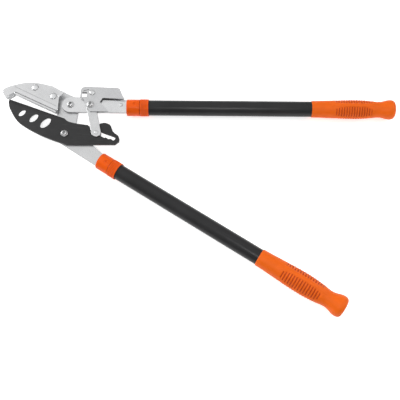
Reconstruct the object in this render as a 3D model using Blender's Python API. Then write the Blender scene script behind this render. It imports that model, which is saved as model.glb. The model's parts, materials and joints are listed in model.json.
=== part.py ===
"""Ratchet anvil lopper with a compound link and two telescopic handles, lying flat with its jaws part open.

Units are metres, +Z is up. X runs along the upper handle and Y across the jaws. The outlines of the head
are drawn about the blade pivot. The whole tool hangs from one empty there, which puts the world's origin
under the middle of the tool. The head's layers are stacked along Z about the plane of the blade and the arm.
"""

from math import atan2, cos, hypot, pi, radians, sin, tau

import bmesh
import bpy
from mathutils import Matrix, Vector

# The blade pivot, as seen from the point of the floor under the middle of the tool.
PIVOT_AT = (-0.23607, 0.10856, 0.0242)
GAP = 0.0003

# Linkage, in the plane of the head, from the blade pivot.
ARM_PIVOT = (0.0064, 0.0577)
LINK_PIVOT = (0.0431, 0.0556)
RATCHET_PIN = (0.0565, 0.0017)
SPRING_POST = (0.0447, 0.0797)
HOUSING_CORNER = (0.0322, 0.0832)

# Blade, anvil and jaw plates: the distance of each edge's line from the blade pivot, and its slope.
EDGE_DISTANCE = 0.0277
EDGE_SLOPE = radians(20.3)
ANVIL_DISTANCE = 0.0280
ANVIL_SLOPE = radians(25.7)
PLATE_DISTANCE = 0.0315

# Blade: the ends of its cutting edge along X, the ground bevel, and the ratchet notches in its tail.
EDGE_TIP = -0.1052
EDGE_HEEL = -0.0032
EDGE_BEVEL = 0.0065
EDGE_HALF = 0.0003
NOTCHES = [(0.0712, -0.0051), (0.0793, -0.0076), (0.0873, -0.0099)]
NOTCH_RADIUS = 0.0026
SEAT_RADIUS = 0.0034

# Fixed jaw: the hook at its nose, its curved back, and the block that the blade closes on.
HOOK = [(-0.0965, 0.0788), (-0.1020, 0.0745), (-0.1080, 0.0715), (-0.1137, 0.0735), (-0.1168, 0.0793)]
JAW_BACK = [(-0.1155, 0.0855), (-0.1025, 0.0922), (-0.0760, 0.0988), (-0.0530, 0.0980), (-0.0280, 0.0920)]
ANVIL_ENDS = (-0.0970, -0.0180)
ANVIL_TOP = 0.0620
PLATE_NOSE = -0.0930

# Fasteners.
PIVOT_SHANK = 0.004
CHEEK_RIVETS = [(-0.0588, 0.0888), (-0.0246, 0.0716)]
CHEEK_RIVET_SHANK = 0.003
RATCHET_PIN_RADIUS = 0.0022
POST_SHANK = 0.0025
TANG_RIVET = (0.0975, 0.0578)
TANG_RIVET_SHANK = 0.0016

# Layers of the head along Z.
BLADE_HALF = 0.002
FRAME_LAYER = (-0.0073, -0.0023)
ANVIL_LAYER = (-0.0020, 0.0050)
CHEEK_LAYER = (0.0053, 0.0073)
LINK_LAYER = (0.0023, 0.0048)
HOUSING_LAYER = (0.0051, 0.0069)

# Bars that carry the handles.
BAR_HALF_WIDTH = 0.0121
TONGUE_HALF_WIDTH = 0.0060
TONGUE_IN_FERRULE = 0.006
TONGUE_LENGTH = 0.055

# Handles: where each ferrule starts, measured from the blade pivot along and across the handle. Both handles
# lie in the plane of the frame, so the upper arm's bar enters its ferrule off centre.
HANDLE_LAYER = -0.0048
UPPER_START = (0.1075, 0.0557)
LOWER_ANGLE = radians(-31.9)
LOWER_START = (0.0815, -0.0067)

# One handle, along its own axis from the ferrule's face.
FERRULE_LENGTH = 0.0235
FERRULE_RADIUS = 0.0154
LOCK_RING_END = 0.0395
INNER_TUBE_START = 0.0072
INNER_TUBE_END = 0.300
INNER_TUBE_RADIUS = 0.0110
INNER_TUBE_WALL = 0.0014
OUTER_TUBE_START = 0.0265
OUTER_TUBE_END = 0.468
OUTER_TUBE_RADIUS = 0.0138
OUTER_TUBE_WALL = 0.0012
COLLET_LENGTH = 0.022
BUSH_LENGTH = 0.018
GRIP_START = {"upper": 0.3320, "lower": 0.3225}
GRIP_END = 0.4818
GRIP_WIDEST = {"upper": 0.0180, "lower": 0.0194}
PIN_ALONG = 0.0150
PIN_RADIUS = 0.0022

ROUND = 32
SMALL_ROUND = 20

STEEL = (0.72, 0.73, 0.74, 1)
CHROME = (0.80, 0.81, 0.82, 1)
BLACK_COATING = (0.045, 0.045, 0.047, 1)
BLACK_PAINT = (0.055, 0.057, 0.060, 1)
ORANGE = (0.85, 0.125, 0.028, 1)


# ---- outlines in the plane of the head ----


def arc(centre, radius, start, end, steps):
    """Points on an arc, from one angle in degrees to another, both ends included."""
    angles = [radians(start + (end - start) * i / steps) for i in range(steps + 1)]
    return [(centre[0] + radius * cos(a), centre[1] + radius * sin(a)) for a in angles]


def circle(centre, radius, sides=SMALL_ROUND):
    return arc(centre, radius, 0, 360, sides)[:-1]


def curve_through(points, steps=4):
    """A smooth Catmull-Rom curve through the points, both ends included."""
    ends = [points[0]] + points + [points[-1]]
    curve = []
    for four in zip(ends, ends[1:], ends[2:], ends[3:]):
        for i in range(steps):
            t = i / steps
            weights = [
                -t + 2 * t**2 - t**3,
                2 - 5 * t**2 + 3 * t**3,
                t + 4 * t**2 - 3 * t**3,
                t**3 - t**2,
            ]
            curve.append(tuple(sum(w * p[k] for w, p in zip(weights, four)) / 2 for k in (0, 1)))
    return curve + [points[-1]]


def on_line(distance, slope, x):
    """The point at x on a line that falls to the right at this slope, this far from the blade pivot."""
    return (x, (distance - x * sin(slope)) / cos(slope))


def capsule(a, b, radius, steps=10):
    """The outline of a straight link with round ends at a and b."""
    along = atan2(b[1] - a[1], b[0] - a[0]) * 180 / pi
    return arc(b, radius, along - 90, along + 90, steps) + arc(a, radius, along + 90, along + 270, steps)


def along_lower(s, n):
    """A point s along the lower handle's direction from the blade pivot and n across it."""
    return (s * cos(LOWER_ANGLE) - n * sin(LOWER_ANGLE), s * sin(LOWER_ANGLE) + n * cos(LOWER_ANGLE))


# ---- objects ----


def material(name, colour, roughness, metallic):
    made = bpy.data.materials.new(name)
    made.use_nodes = True
    shader = made.node_tree.nodes["Principled BSDF"]
    shader.inputs["Base Color"].default_value = colour
    shader.inputs["Roughness"].default_value = roughness
    shader.inputs["Metallic"].default_value = metallic
    return made


def add_object(name, bm, look, parent, matrix=None):
    """Turns a bmesh, drawn in its parent's frame or in the frame of a matrix there, into a named object."""
    bmesh.ops.recalc_face_normals(bm, faces=bm.faces)
    mesh = bpy.data.meshes.new(name)
    bm.to_mesh(mesh)
    bm.free()
    made = bpy.data.objects.new(name, mesh)
    bpy.context.scene.collection.objects.link(made)
    made.parent = parent
    if matrix:
        made.matrix_basis = matrix
    mesh.materials.append(material(name, *look))
    mesh.shade_smooth()
    mesh.set_sharp_from_angle(angle=radians(35))
    return made


def add_empty(name, parent=None, matrix=None):
    made = bpy.data.objects.new(name, None)
    bpy.context.scene.collection.objects.link(made)
    made.parent = parent
    if matrix:
        made.matrix_basis = matrix
    return made


def flat_face(outline, holes=()):
    """A flat face with holes, in the plane z = 0."""
    bm = bmesh.new()
    for loop in (outline, *holes):
        verts = [bm.verts.new((x, y, 0)) for x, y in loop]
        for a, b in zip(verts, verts[1:] + verts[:1]):
            bm.edges.new((a, b))
    bmesh.ops.triangle_fill(bm, edges=bm.edges, use_beauty=True)
    return bm


def thicken(bm, layer):
    """Extrudes a flat face from the bottom to the top of a layer."""
    bmesh.ops.translate(bm, verts=bm.verts, vec=(0, 0, layer[0]))
    grown = bmesh.ops.extrude_face_region(bm, geom=bm.faces[:])
    raised = [item for item in grown["geom"] if isinstance(item, bmesh.types.BMVert)]
    bmesh.ops.translate(bm, verts=raised, vec=(0, 0, layer[1] - layer[0]))
    return bm


def add_plate(name, outline, layer, look, parent, holes=()):
    """A plate of the head. Its parent is an empty on its pivot, from which the outline is measured."""
    x, y = parent["pivot"]
    bm = thicken(flat_face(outline, holes), layer)
    bmesh.ops.translate(bm, verts=bm.verts, vec=(-x, -y, 0))
    return add_object(name, bm, look, parent)


def turned(profile, sides=ROUND):
    """A solid of revolution about Z. The profile is (z, radius) pairs; it closes on the axis or on itself."""
    bm = bmesh.new()
    rings = []
    for z, radius in profile:
        around = circle((0, 0), radius, sides) if radius > 0 else [(0, 0)]
        rings.append([bm.verts.new((x, y, z)) for x, y in around])
    if profile[0][1] > 0:
        rings.append(rings[0])
    for a, b in zip(rings, rings[1:]):
        for i in range(sides):
            j = (i + 1) % sides
            corners = [a[i % len(a)], a[j % len(a)], b[j % len(b)], b[i % len(b)]]
            bm.faces.new(list(dict.fromkeys(corners)))
    return bm


def cut(target, cutter):
    """Cuts a helper object out of the target with a Boolean."""
    cutter.hide_render = True
    cutter.display_type = "WIRE"
    modifier = target.modifiers.new(cutter.name, "BOOLEAN")
    modifier.operation = "DIFFERENCE"
    modifier.object = cutter


def add_prism_cutter(name, outline, layer, parent, matrix=None):
    return add_object(name, thicken(flat_face(outline), layer), (STEEL, 0.5, 0), parent, matrix)


# ---- fasteners ----


def local(point, parent):
    """A point measured from the blade pivot, as its parent's pivot sees it."""
    x, y = parent["pivot"]
    return (point[0] - x, point[1] - y)


def at(point, parent):
    return Matrix.Translation((*local(point, parent), 0))


def add_bolt(name, point, under_head, end, head_radius, shank_radius, parent):
    """A button-head bolt along Z with a hexagon socket, its end chamfered."""
    head_height = 0.0042
    socket_radius = 0.0031
    socket_depth = 0.0026
    chamfer = 0.0006
    top = under_head + head_height
    profile = [
        (end, 0),
        (end, shank_radius - chamfer),
        (end + chamfer, shank_radius),
        (under_head, shank_radius),
        (under_head, head_radius),
        (under_head + 0.45 * head_height, head_radius),
        (top - 0.18 * head_height, 0.86 * head_radius),
        (top, 0.66 * head_radius),
        (top, 0),
    ]
    bolt = add_object(name, turned(profile, 24), (STEEL, 0.25, 1), parent, at(point, parent))
    hexagon = circle((0, 0), socket_radius, 6)
    layer = (top - socket_depth, top + head_height)
    cut(bolt, add_prism_cutter(f"{name}_socket", hexagon, layer, parent, at(point, parent)))


def add_ring(name, point, layer, outer, bore, parent, sides=24, look=(STEEL, 0.35, 1)):
    """A washer, or with six sides a nut whose bore is round."""
    bm = flat_face(circle((0, 0), outer, sides), [circle((0, 0), bore, 18)])
    return add_object(name, thicken(bm, layer), look, parent, at(point, parent))


def add_rivet(name, point, layer, head_radius, shank_radius, head_height, parent):
    """A rivet along Z through a layer, with a low domed head on each side."""
    low, high = layer
    rim = 0.4 * head_height
    crown = 0.7 * head_radius
    profile = [(low - head_height, 0), (low - head_height, crown), (low - rim, head_radius)]
    profile += [(low, head_radius), (low, shank_radius), (high, shank_radius), (high, head_radius)]
    profile += [(high + rim, head_radius), (high + head_height, crown), (high + head_height, 0)]
    add_object(name, turned(profile, SMALL_ROUND), (CHROME, 0.3, 1), parent, at(point, parent))


# ---- head ----


def jaw_front():
    """The stretch that the frame and the cheek share: up round the hook and along the jaw's curved back."""
    return curve_through(HOOK + JAW_BACK)


def add_frame(root):
    """The fixed jaw's plate, which runs on past both pivots as the bar of the lower handle."""
    tail_radius = 0.0170
    bar_start = along_lower(0.030, 0)
    ferrule = LOWER_START[0] + TONGUE_IN_FERRULE
    tip = ferrule + TONGUE_LENGTH
    n = LOWER_START[1]
    outline = jaw_front()
    outline += curve_through([(-0.0130, 0.0880), (0.0041, 0.0788), (0.0172, 0.0735)], 3)
    outline += [(0.0215, 0.0690), (0.0202, 0.0442), (0.0181, 0.0223)]
    outline += arc((0, 0), tail_radius, 18, -4, 2)
    outline += [(bar_start[0] + 0.0072, bar_start[1] + 0.0118)]
    outline += [along_lower(LOWER_START[0], n + BAR_HALF_WIDTH), along_lower(ferrule, n + BAR_HALF_WIDTH)]
    outline += [along_lower(ferrule, n + TONGUE_HALF_WIDTH), along_lower(tip, n + TONGUE_HALF_WIDTH)]
    outline += [along_lower(tip, n - TONGUE_HALF_WIDTH), along_lower(ferrule, n - TONGUE_HALF_WIDTH)]
    outline += [along_lower(ferrule, n - BAR_HALF_WIDTH), along_lower(LOWER_START[0], n - BAR_HALF_WIDTH)]
    outline += arc((0, 0), tail_radius, 237, 165, 6)
    outline += [(-0.0180, 0.0400), on_line(PLATE_DISTANCE, ANVIL_SLOPE, -0.0180)]
    outline += [on_line(PLATE_DISTANCE, ANVIL_SLOPE, PLATE_NOSE)]
    holes = [circle(ARM_PIVOT, PIVOT_SHANK + GAP), circle((0, 0), PIVOT_SHANK + GAP)]
    holes += [circle(rivet, CHEEK_RIVET_SHANK + GAP) for rivet in CHEEK_RIVETS]
    holes += [circle(along_lower(LOWER_START[0] + PIN_ALONG, n), PIN_RADIUS + GAP, 12)]
    add_plate("jaw_frame", outline, FRAME_LAYER, (CHROME, 0.28, 1), root, holes)


def add_anvil(root):
    """The anvil block, the cheek that closes the jaw over it, and the two rivets that clamp them."""
    left, right = ANVIL_ENDS
    block = [
        on_line(ANVIL_DISTANCE, ANVIL_SLOPE, left),
        on_line(ANVIL_DISTANCE, ANVIL_SLOPE, right),
        on_line(ANVIL_TOP, ANVIL_SLOPE, right),
        on_line(ANVIL_TOP, ANVIL_SLOPE, -0.0600),
        on_line(0.0430, ANVIL_SLOPE, left),
    ]
    holes = [circle(rivet, CHEEK_RIVET_SHANK + GAP) for rivet in CHEEK_RIVETS]
    add_plate("anvil_block", block, ANVIL_LAYER, (CHROME, 0.3, 1), root, holes)
    cheek = jaw_front()
    cheek += [(-0.0150, 0.0850), (-0.0059, 0.0780), (-0.0142, 0.0697), (-0.0145, 0.0440)]
    cheek += [on_line(PLATE_DISTANCE, ANVIL_SLOPE, -0.0175), on_line(PLATE_DISTANCE, ANVIL_SLOPE, PLATE_NOSE)]
    add_plate("jaw_cheek", cheek, CHEEK_LAYER, (CHROME, 0.22, 1), root, holes)
    for number, rivet in enumerate(CHEEK_RIVETS, 1):
        layer = (FRAME_LAYER[0] - GAP, CHEEK_LAYER[1] + GAP)
        add_rivet(f"cheek_rivet_{number}", rivet, layer, 0.0058, CHEEK_RIVET_SHANK, 0.0016, root)


def blade_outline():
    """The blade: cutting edge, belly, tail with its ratchet slot, and the bay that the link hangs in."""
    heel = on_line(EDGE_DISTANCE, EDGE_SLOPE, EDGE_HEEL)
    tip = on_line(EDGE_DISTANCE, EDGE_SLOPE, EDGE_TIP)
    outline = [tip]
    outline += curve_through(
        [(-0.1055, 0.0620), (-0.1010, 0.0470), (-0.0822, 0.0207), (-0.0442, -0.0022), (-0.0072, -0.0172)], 5
    )
    outline += [(0.0060, -0.0206), (0.0904, -0.0206)]
    outline += curve_through([(0.0976, -0.0145), (0.0977, -0.0086), (0.0948, -0.0028), (0.0893, 0.0011)], 4)
    outline += curve_through([(0.0856, 0.0050), (0.0806, 0.0168), (0.0742, 0.0208), (0.0688, 0.0217)], 5)
    outline += [(0.0635, 0.0208), (0.0606, 0.0188), (0.0630, 0.0070)]
    outline += [(0.0640, 0.0045), (0.0692, 0.0017), (0.0800, -0.0022), (0.0880, -0.0051)]
    outline += arc((0.0873, -0.0085), 0.0034, 78, -30, 5)
    for x, y in reversed(NOTCHES):
        outline += arc((x, y), NOTCH_RADIUS, -40, -140, 4)
        outline += [(x - 0.0036, y - 0.0006)]
    outline += arc(RATCHET_PIN, SEAT_RADIUS, -75, -165, 5)
    outline += [(0.0480, 0.0040), (0.0452, 0.0089), (0.0440, 0.0138), (0.0406, 0.0168)]
    shoulder = [(0.0226, 0.0194), (0.0118, 0.0217), (0.0045, 0.0240), (0.0010, 0.0266), heel]
    outline += curve_through(shoulder, 3)
    return outline


def slanted_hole(centre, length, width, slope):
    """An elliptical lightening hole, its long axis at this slope in degrees."""
    turn = Matrix.Rotation(radians(slope), 2)
    points = []
    for x, y in circle((0, 0), 1, 28):
        offset = turn @ Vector((x * length / 2, y * width / 2))
        points.append((centre[0] + offset.x, centre[1] + offset.y))
    return points


def add_blade(pivot):
    holes = [circle((0, 0), PIVOT_SHANK + GAP)]
    holes += [slanted_hole((-0.0792, 0.0403), 0.0152, 0.0098, 48)]
    holes += [slanted_hole((-0.0573, 0.0304), 0.0196, 0.0120, 50)]
    holes += [slanted_hole((-0.0355, 0.0210), 0.0236, 0.0142, 50)]
    layer = (-BLADE_HALF, BLADE_HALF)
    blade = add_plate("blade", blade_outline(), layer, (BLACK_COATING, 0.42, 0.6), pivot, holes)
    # The wedge's own X points from the edge into the blade, its Y up, its Z along the edge to the tip.
    clear = 0.004
    wedge = [(0, EDGE_HALF), (EDGE_BEVEL, BLADE_HALF), (EDGE_BEVEL + 0.001, clear), (-clear, clear)]
    wedge += [(-clear, EDGE_HALF)]
    length = 0.125
    lie = Matrix.Rotation(-EDGE_SLOPE - pi / 2, 4, "Z") @ Matrix.Rotation(pi / 2, 4, "X")
    heel = Matrix.Translation((*on_line(EDGE_DISTANCE, EDGE_SLOPE, EDGE_HEEL), 0))
    for name, side in (("edge_bevel_front", 1), ("edge_bevel_back", -1)):
        outline = [(inward, side * z) for inward, z in wedge]
        cut(blade, add_prism_cutter(name, outline, (0, length), pivot, heel @ lie))


def add_arm(arm):
    """The upper bar, from its pivot on the jaw to its tongue in the upper ferrule."""
    radius = 0.0152
    x, y = UPPER_START
    ferrule = x + TONGUE_IN_FERRULE
    tip = ferrule + TONGUE_LENGTH
    outline = arc(ARM_PIVOT, radius, 90, 270, 14)
    outline += [(x - GAP, y - BAR_HALF_WIDTH - 0.0013), (x - GAP, y - BAR_HALF_WIDTH)]
    outline += [(ferrule, y - BAR_HALF_WIDTH), (ferrule, y - TONGUE_HALF_WIDTH)]
    outline += [(tip, y - TONGUE_HALF_WIDTH), (tip, y + TONGUE_HALF_WIDTH), (ferrule, y + TONGUE_HALF_WIDTH)]
    outline += [(ferrule, y + BAR_HALF_WIDTH), (0.0620, y + BAR_HALF_WIDTH), (0.0500, 0.0710)]
    outline += [(0.0440, ARM_PIVOT[1] + radius)]
    holes = [circle(ARM_PIVOT, PIVOT_SHANK + GAP), circle(LINK_PIVOT, PIVOT_SHANK + GAP)]
    holes += [circle((x + PIN_ALONG, y), PIN_RADIUS + GAP, 12)]
    holes += [circle(TANG_RIVET, TANG_RIVET_SHANK + GAP, 12)]
    add_plate("upper_arm", outline, (-BLADE_HALF, BLADE_HALF), (STEEL, 0.3, 1), arm, holes)
    layer = (-BLADE_HALF - GAP, BLADE_HALF + GAP)
    add_rivet("tang_rivet", TANG_RIVET, layer, 0.0030, TANG_RIVET_SHANK, 0.0010, arm)


def add_link(link):
    """Two link plates, one each side of the arm and of the blade's tail, and the ratchet pin between them."""
    radius = 0.0082
    low, high = LINK_LAYER
    ear_reach = 0.0175
    holes = [circle(LINK_PIVOT, PIVOT_SHANK + GAP), circle(RATCHET_PIN, RATCHET_PIN_RADIUS + GAP, 16)]
    plain = capsule(LINK_PIVOT, RATCHET_PIN, radius)
    along = atan2(RATCHET_PIN[1] - LINK_PIVOT[1], RATCHET_PIN[0] - LINK_PIVOT[0]) * 180 / pi
    eared = arc(RATCHET_PIN, radius, along - 90, along + 90, 10) + arc(LINK_PIVOT, radius, along + 90, 50, 3)
    eared += arc(LINK_PIVOT, ear_reach, 84, 96, 2) + arc(LINK_PIVOT, radius, 128, along + 270, 5)
    add_plate("link_front", eared, (low, high), (STEEL, 0.3, 1), link, holes)
    add_plate("link_back", plain, (-high, -low), (STEEL, 0.3, 1), link, holes)
    layer = (-high - GAP, high + GAP)
    add_rivet("ratchet_pin", RATCHET_PIN, layer, 0.0036, RATCHET_PIN_RADIUS, 0.0009, link)


def housing_cheek():
    """The front cheek, from under the link bolt round the arched window end and back along the slit."""
    outline = [(0.0434, 0.0419), (0.0757, 0.0419), (0.0594, 0.0610), (0.0643, 0.0692), (0.1040, 0.0673)]
    outline += [(0.1003, 0.0733), (0.0942, 0.0876), (0.0905, 0.0897), (0.0312, 0.0918)]
    outline += arc(HOUSING_CORNER, 0.0086, 97, 180, 5)
    outline += [(0.0235, 0.0705), (0.0300, 0.0660), (0.0335, 0.0580), (0.0370, 0.0490)]
    return outline


def add_housing(arm):
    """Sheet-metal housing folded over the arm: two cheeks and the web that joins them along the top."""
    low, high = HOUSING_LAYER
    web_thickness = 0.0018
    holes = [circle(LINK_PIVOT, PIVOT_SHANK + GAP), circle(SPRING_POST, POST_SHANK + GAP, 16)]
    window = [(0.0264, 0.0712), (0.0353, 0.0712), (0.0353, 0.0805), (0.0264, 0.0805)]
    slit = [(0.0290, 0.0822), (0.0385, 0.0852), (0.0380, 0.0867), (0.0285, 0.0837)]
    back = [(0.0434, 0.0470), (0.0713, 0.0470), (0.0594, 0.0610), (0.0643, 0.0692), (0.1040, 0.0673)]
    back += [(0.1003, 0.0733), (0.0942, 0.0876), (0.0905, 0.0897)]
    back += arc(HOUSING_CORNER, 0.0084, 97, 170, 5)
    back += [(0.0385, 0.0845), (0.0370, 0.0490)]
    look = (STEEL, 0.33, 1)
    front = add_plate("spring_housing", housing_cheek(), (low, high), look, arm, [*holes, window, slit])
    overlap = 0.0004
    parts = [add_plate("housing_back", back, (-high, -low), look, arm, holes)]
    web = arc(HOUSING_CORNER, 0.0083, 170, 97, 5)
    web += [(0.0904, 0.0896), (0.0941, 0.0875), (0.0936, 0.0860), (0.0901, 0.0897 - web_thickness)]
    web += arc(HOUSING_CORNER, 0.0083 - web_thickness, 97, 170, 5)
    parts.append(add_plate("housing_web", web, (-low - overlap, low + overlap), look, arm))
    for other in parts:
        other.hide_render = True
        other.display_type = "WIRE"
        join = front.modifiers.new(other.name, "BOOLEAN")
        join.operation = "UNION"
        join.object = other
    add_rivet("spring_post", SPRING_POST, (-high - GAP, high + GAP), 0.0051, POST_SHANK, 0.0020, arm)


def add_spring(arm):
    """Torsion spring on its post: one leg waits beside the link's ear, the other bears under the web."""
    coil_radius = 0.0042
    wire_radius = 0.0007
    turns = 3.25
    steps = 39
    height = 0.0034
    x, y = local(SPRING_POST, arm)
    points = [(*local((0.0372, 0.0715), arm), height)]
    for i in range(steps + 1):
        angle = pi - tau * turns * i / steps
        z = height - 2 * height * i / steps
        points.append((x + coil_radius * cos(angle), y + coil_radius * sin(angle), z))
    points.append((*local((0.0620, 0.0860), arm), -height))
    curve = bpy.data.curves.new("link_spring", "CURVE")
    curve.dimensions = "3D"
    curve.bevel_depth = wire_radius
    curve.bevel_resolution = 2
    curve.use_fill_caps = True
    spline = curve.splines.new("POLY")
    spline.points.add(len(points) - 1)
    for point, place in zip(spline.points, points):
        point.co = (*place, 1)
    curve.materials.append(material("link_spring", STEEL, 0.4, 1))
    spring = bpy.data.objects.new("link_spring", curve)
    bpy.context.scene.collection.objects.link(spring)
    spring.parent = arm


def add_pivot_bolts(root, blade, arm):
    """The three pivot bolts with their washers and lock nuts."""
    head_radius = 0.0063
    washer = 0.0014
    nut = 0.0066
    back = -0.0073
    middle = -0.0069
    origin = (0, 0)
    add_bolt("blade_bolt", origin, BLADE_HALF + GAP, -0.0188, head_radius, PIVOT_SHANK, root)
    add_bolt("arm_bolt", ARM_PIVOT, BLADE_HALF + GAP, -0.0176, head_radius, PIVOT_SHANK, root)
    add_bolt("link_bolt", LINK_PIVOT, HOUSING_LAYER[1] + GAP, -0.0172, head_radius, PIVOT_SHANK, arm)
    for name, point, face, parent in (
        ("blade", origin, back, root),
        ("arm", ARM_PIVOT, back, root),
        ("link", LINK_PIVOT, middle, arm),
    ):
        top = face - GAP
        add_ring(f"{name}_washer", point, (top - washer, top), 0.0078, PIVOT_SHANK + GAP, parent)
        top -= washer + GAP
        add_ring(f"{name}_nut", point, (top - nut, top), 0.0075, PIVOT_SHANK + GAP, parent, 6)


# ---- handles ----


def hollow(start, end, outer, bore, sides=ROUND):
    """A tube between two stations of a handle."""
    return turned([(start, outer), (end, outer), (end, bore), (start, bore)], sides)


def ring_outline(radius, ribs, depth):
    """A circle with raised ribs round it."""
    points = []
    for i in range(4 * ribs):
        reach = radius if i % 4 < 2 else radius - depth
        points.append((reach * cos(tau * i / (4 * ribs)), reach * sin(tau * i / (4 * ribs))))
    return points


def grip_profile(start, widest):
    """Outer side of a grip that starts here and is this wide at its belly, then its blind bore."""
    bore = OUTER_TUBE_RADIUS + GAP
    outer = [
        (0.0000, 0.0147),
        (0.0012, 0.0149),
        (0.0200, 0.0152),
        (0.0427, 0.0168),
        (0.0650, 0.0180),
        (0.0800, 0.0182),
        (0.0950, 0.0178),
        (0.1120, 0.0160),
        (0.1220, 0.0148),
        (0.1260, 0.0147),
        (0.1330, 0.0152),
        (0.1400, 0.0170),
        (0.1450, 0.0176),
        (0.1490, 0.0174),
        (0.1525, 0.0159),
        (0.1543, 0.0125),
    ]
    # The wall over the tube is what grows or shrinks; the last point lies beyond the tube's end.
    fullness = (widest - bore) / (max(radius for _, radius in outer) - bore)
    stretch = (GRIP_END - start) / outer[-1][0]
    profile = [(start + stretch * s, bore + fullness * (radius - bore)) for s, radius in outer[:-1]]
    profile.append((GRIP_END, outer[-1][1]))
    end = OUTER_TUBE_END + GAP
    return [(end, 0), (end, bore), (start, bore), *profile, (GRIP_END, 0)]


def add_handle(side, bar, matrix, bar_layer):
    """One telescopic handle. The matrix puts its Z along the handle from the ferrule's face, its X up."""
    fixed = add_empty(f"{side}_handle_axis", bar, matrix)
    sliding = add_empty(f"{side}_slide", fixed)
    twisting = add_empty(f"{side}_twist", sliding)
    bore = INNER_TUBE_RADIUS + GAP
    chamfer = 0.0005
    face = 0.0045
    ferrule = turned(
        [
            (0, FERRULE_RADIUS - chamfer),
            (chamfer, FERRULE_RADIUS),
            (FERRULE_LENGTH - chamfer, FERRULE_RADIUS),
            (FERRULE_LENGTH, FERRULE_RADIUS - chamfer),
            (FERRULE_LENGTH, bore),
            (face, bore),
            (face, 0.0008),
            (0, 0.0008),
        ]
    )
    sleeve = add_object(f"{side}_ferrule", ferrule, (ORANGE, 0.42, 0), fixed)
    low, high = (edge - HANDLE_LAYER for edge in bar_layer)
    half_width = BAR_HALF_WIDTH + GAP
    slot = [
        (low - GAP, -half_width),
        (high + GAP, -half_width),
        (high + GAP, half_width),
        (low - GAP, half_width),
    ]
    cut(sleeve, add_prism_cutter(f"{side}_bar_slot", slot, (-0.002, TONGUE_IN_FERRULE + GAP), fixed))
    pin_half = 0.0147
    across = Matrix.Translation((0, 0, PIN_ALONG)) @ Matrix.Rotation(pi / 2, 4, "Y")
    pin_hole = circle((0, 0), PIN_RADIUS + GAP, 12)
    drill = add_prism_cutter(f"{side}_pin_hole", pin_hole, (-0.02, 0.02), fixed, across)
    cut(sleeve, drill)
    pin = turned([(-pin_half, 0), (-pin_half, PIN_RADIUS), (pin_half, PIN_RADIUS), (pin_half, 0)], 12)
    add_object(f"{side}_ferrule_pin", pin, (STEEL, 0.3, 1), fixed, across)
    inner = hollow(INNER_TUBE_START, INNER_TUBE_END, INNER_TUBE_RADIUS, INNER_TUBE_RADIUS - INNER_TUBE_WALL)
    cut(add_object(f"{side}_inner_tube", inner, (CHROME, 0.35, 1), fixed), drill)
    outer_bore = OUTER_TUBE_RADIUS - OUTER_TUBE_WALL
    bush_start = INNER_TUBE_END + GAP
    plug = INNER_TUBE_RADIUS - INNER_TUBE_WALL - GAP
    bush = [
        (bush_start - 0.012, 0),
        (bush_start - 0.012, plug),
        (bush_start, plug),
        (bush_start, outer_bore - GAP),
        (bush_start + BUSH_LENGTH, outer_bore - GAP),
        (bush_start + BUSH_LENGTH, 0),
    ]
    add_object(f"{side}_guide_bush", turned(bush, 24), (BLACK_PAINT, 0.6, 0), fixed)

    tube = hollow(OUTER_TUBE_START, OUTER_TUBE_END, OUTER_TUBE_RADIUS, outer_bore)
    add_object(f"{side}_outer_tube", tube, (BLACK_PAINT, 0.38, 0.2), sliding)
    collet = hollow(OUTER_TUBE_START, OUTER_TUBE_START + COLLET_LENGTH, outer_bore - GAP, bore, 24)
    add_object(f"{side}_collet", collet, (BLACK_PAINT, 0.6, 0), sliding)
    grip = turned(grip_profile(GRIP_START[side], GRIP_WIDEST[side]))
    add_object(f"{side}_grip", grip, (ORANGE, 0.45, 0), sliding)

    ring_start = FERRULE_LENGTH + GAP
    ribbed = thicken(flat_face(ring_outline(FERRULE_RADIUS, 30, 0.0005)), (ring_start, LOCK_RING_END))
    ring = add_object(f"{side}_lock_ring", ribbed, (ORANGE, 0.5, 0), twisting)
    mouth = circle((0, 0), bore, ROUND)
    cut(ring, add_prism_cutter(f"{side}_ring_mouth", mouth, (ring_start - 0.002, OUTER_TUBE_START), twisting))
    seat = circle((0, 0), OUTER_TUBE_RADIUS + GAP, ROUND)
    layer = (OUTER_TUBE_START - GAP, LOCK_RING_END + 0.002)
    cut(ring, add_prism_cutter(f"{side}_ring_seat", seat, layer, twisting))


def handle_matrix(start, angle):
    """From the handle's own frame, Z along and X up, to the plane of the head."""
    turn = Matrix.Rotation(angle, 4, "Z") @ Matrix.Rotation(pi / 2, 4, "Y") @ Matrix.Rotation(pi, 4, "Z")
    return Matrix.Translation((*start, HANDLE_LAYER)) @ turn


def add_pivot(name, point, parent):
    """An empty on a pivot of the head. It remembers where it is from the blade pivot."""
    made = add_empty(name, parent, at(point, parent) if parent else None)
    made["pivot"] = point
    return made


def main():
    for old in list(bpy.data.objects):
        bpy.data.objects.remove(old, do_unlink=True)
    root = add_pivot("root", (0, 0), None)
    root.location = PIVOT_AT
    blade = add_pivot("blade_pivot", (0, 0), root)
    arm = add_pivot("arm_pivot", ARM_PIVOT, root)
    link = add_pivot("link_pivot", LINK_PIVOT, arm)
    add_frame(root)
    add_anvil(root)
    add_blade(blade)
    add_arm(arm)
    add_link(link)
    add_housing(arm)
    add_spring(arm)
    add_pivot_bolts(root, blade, arm)
    upper = (UPPER_START[0] - ARM_PIVOT[0], UPPER_START[1] - ARM_PIVOT[1])
    add_handle("upper", arm, handle_matrix(upper, 0), (-BLADE_HALF, BLADE_HALF))
    add_handle("lower", root, handle_matrix(along_lower(*LOWER_START), LOWER_ANGLE), FRAME_LAYER)


main()
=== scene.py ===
"""Looks of the ratchet anvil lopper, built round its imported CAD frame. Metres, +Z up."""

import json
from math import atan2, cos, hypot, pi, radians, sin, tau

import bmesh
import bpy
from mathutils import Matrix, Vector

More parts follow.
